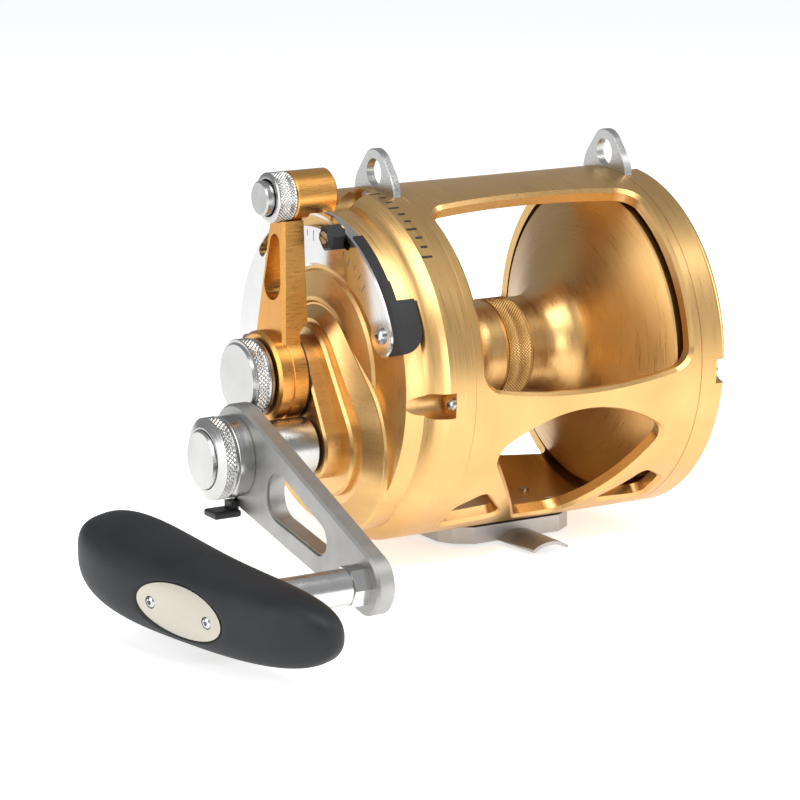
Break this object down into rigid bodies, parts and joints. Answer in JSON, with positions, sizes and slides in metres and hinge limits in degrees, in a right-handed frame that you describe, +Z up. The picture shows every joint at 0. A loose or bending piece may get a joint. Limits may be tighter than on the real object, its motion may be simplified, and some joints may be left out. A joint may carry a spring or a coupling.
{
  "type": "trolling reel",
  "caption": "Two-speed lever-drag trolling reel: open drum frame, wide spool, drag lever on a quadrant, long crank with a shaped grip, foot and harness lugs.",
  "frame": {"origin": "on the rod-seat face under the foot, below the middle of the spool", "axes": "+Z up from the rod, +X along the spool axis away from the handle, -Y towards the rod tip"},
  "size_m": [0.2631, 0.2219, 0.1495],
  "materials": {
    "gold": "gold anodised, fine turned brush marks",
    "lever_gold": "deeper gold anodised, satin",
    "satin_steel": "polished plate",
    "polished_steel": "turned stainless",
    "knurled_silver": "clear anodised, knurled",
    "blasted_aluminium": "bead blasted",
    "badge_steel": "satin plate",
    "screw_steel": "stainless",
    "black_plastic": "moulded",
    "black_rubber": "moulded rubber",
    "grip_rubber": "fine soft-touch texture",
    "gear_steel": "machined",
    "bearing_steel": "ground",
    "bridge_aluminium": "machined",
    "carbon": "woven friction disc",
    "bush_plastic": "bearing plastic"
  },
  "bodies": {
    "reel_body": {"frame": "gold", "handle_side_plate": "gold", "gear_case": "gold", "gear_case_screws": "screw_steel", "bearing_bridge": "bridge_aluminium", "bridge_screws": "screw_steel", "left_side_plate": "gold", "left_bearing_cap": "gold", "quadrant_plate": "satin_steel", "quadrant_screws": "screw_steel", "end_bumper": "black_rubber", "harness_lug_right": "polished_steel", "harness_lug_left": "polished_steel", "lug_screws": "screw_steel", "reel_foot": "blasted_aluminium", "foot_screws": "screw_steel", "side_plate_screws": "screw_steel", "drive_bearing": "bearing_steel", "handle_inner_bearing": "bearing_steel", "handle_outer_bearing": "bearing_steel"},
    "strike_stop_body": {"strike_stop": "black_plastic", "strike_stop_screw": "screw_steel"},
    "lever_body": {"drag_lever": "lever_gold", "lever_collar": "knurled_silver", "lever_cam": "gear_steel", "lever_seal": "black_rubber", "button_spring": "gear_steel"},
    "lever_button_body": {"lever_button": "knurled_silver"},
    "shaft_body": {"spool_shaft": "gear_steel", "preset_springs": "gear_steel"},
    "preset_body": {"preset_knob": "knurled_silver"},
    "spool_body": {"spool": "gold", "spool_bearing_right": "bearing_steel", "spool_bearing_left": "bearing_steel", "click_gear": "gear_steel", "drag_washer": "carbon"},
    "drive_body": {"drag_plate": "gear_steel", "low_pinion": "gear_steel", "high_pinion": "gear_steel"},
    "handle_body": {"handle_shaft": "gear_steel", "handle_sleeve": "polished_steel", "handle_arm": "blasted_aluminium", "handle_cap": "knurled_silver", "anti_reverse_ratchet": "gear_steel", "grip_post": "polished_steel", "grip_nut": "polished_steel", "low_gear": "gear_steel"},
    "high_gear_body": {"high_gear": "gear_steel"},
    "shift_body": {"shift_button": "knurled_silver", "shift_rod": "gear_steel"},
    "release_body": {"shift_release": "black_plastic"},
    "grip_body": {"grip": "grip_rubber", "grip_bushes": "bush_plastic", "grip_badge": "badge_steel", "badge_screws": "screw_steel"},
    "click_body": {"click_button": "knurled_silver", "click_tongue": "gear_steel"},
    "dog_front_body": {"anti_reverse_dog_front": "gear_steel"},
    "dog_rear_body": {"anti_reverse_dog_rear": "gear_steel"}
  },
  "joints": [
    {"name": "lever_swing", "type": "hinge", "parent": "reel_body", "child": "lever_body", "pos_m": [0, 0, 0.07], "axis": [1, 0, 0], "range_deg": [-61, 39]},
    {"name": "lever_button_press", "type": "slide", "parent": "lever_body", "child": "lever_button_body", "axis": [1, 0, 0], "range_m": [0, 0.0025], "stiffness_N_per_m": 250},
    {"name": "shaft_shift", "type": "slide", "parent": "reel_body", "child": "shaft_body", "axis": [1, 0, 0], "range_m": [-0.0003495, 0.0005472]},
    {"name": "preset_turn", "type": "hinge", "parent": "shaft_body", "child": "preset_body", "pos_m": [0, 0, 0.07], "axis": [1, 0, 0], "range_deg": [-180, 180]},
    {"name": "spool_spin", "type": "hinge", "parent": "shaft_body", "child": "spool_body", "pos_m": [0, 0, 0.07], "axis": [1, 0, 0], "continuous": true},
    {"name": "drag_plate_spin", "type": "hinge", "parent": "reel_body", "child": "drive_body", "pos_m": [0, 0, 0.07], "axis": [1, 0, 0], "continuous": true},
    {"name": "handle_spin", "type": "hinge", "parent": "reel_body", "child": "handle_body", "pos_m": [0, -0.01421, 0.04587], "axis": [1, 0, 0], "continuous": true},
    {"name": "high_gear_spin", "type": "hinge", "parent": "reel_body", "child": "high_gear_body", "pos_m": [0, -0.01421, 0.04587], "axis": [1, 0, 0], "continuous": true},
    {"name": "shift_button_travel", "type": "slide", "parent": "handle_body", "child": "shift_body", "axis": [-1, 0, 0], "range_m": [0, 0.007]},
    {"name": "shift_release_press", "type": "slide", "parent": "handle_body", "child": "release_body", "axis": [0, 0, 1], "range_m": [0, 0.001], "stiffness_N_per_m": 200},
    {"name": "grip_spin", "type": "hinge", "parent": "handle_body", "child": "grip_body", "pos_m": [0, -0.10219, 0.01898], "axis": [1, 0, 0], "continuous": true},
    {"name": "strike_stop_adjust", "type": "hinge", "parent": "reel_body", "child": "strike_stop_body", "pos_m": [0, 0, 0.07], "axis": [1, 0, 0], "range_deg": [-60, 5]},
    {"name": "clicker_slide", "type": "slide", "parent": "reel_body", "child": "click_body", "axis": [0, -0.866, -0.5], "range_m": [0, 0.006]},
    {"name": "dog_front_lift", "type": "hinge", "parent": "reel_body", "child": "dog_front_body", "pos_m": [0, -0.03395, 0.05306], "axis": [1, 0, 0], "range_deg": [-12, 0], "stiffness_Nm_per_rad": 0.01},
    {"name": "dog_rear_lift", "type": "hinge", "parent": "reel_body", "child": "dog_rear_body", "pos_m": [0, -0.00703, 0.02614], "axis": [1, 0, 0], "range_deg": [-12, 0], "stiffness_Nm_per_rad": 0.01}
  ],
  "couplings": [
    {"joint": "lever_swing", "follows": "shaft_shift", "rad_per_m": -1945.5},
    {"joint": "drag_plate_spin", "follows": "spool_spin", "ratio": 1},
    {"joint": "handle_spin", "follows": "spool_spin", "ratio": -0.75},
    {"joint": "high_gear_spin", "follows": "spool_spin", "ratio": -0.33333}
  ]
}
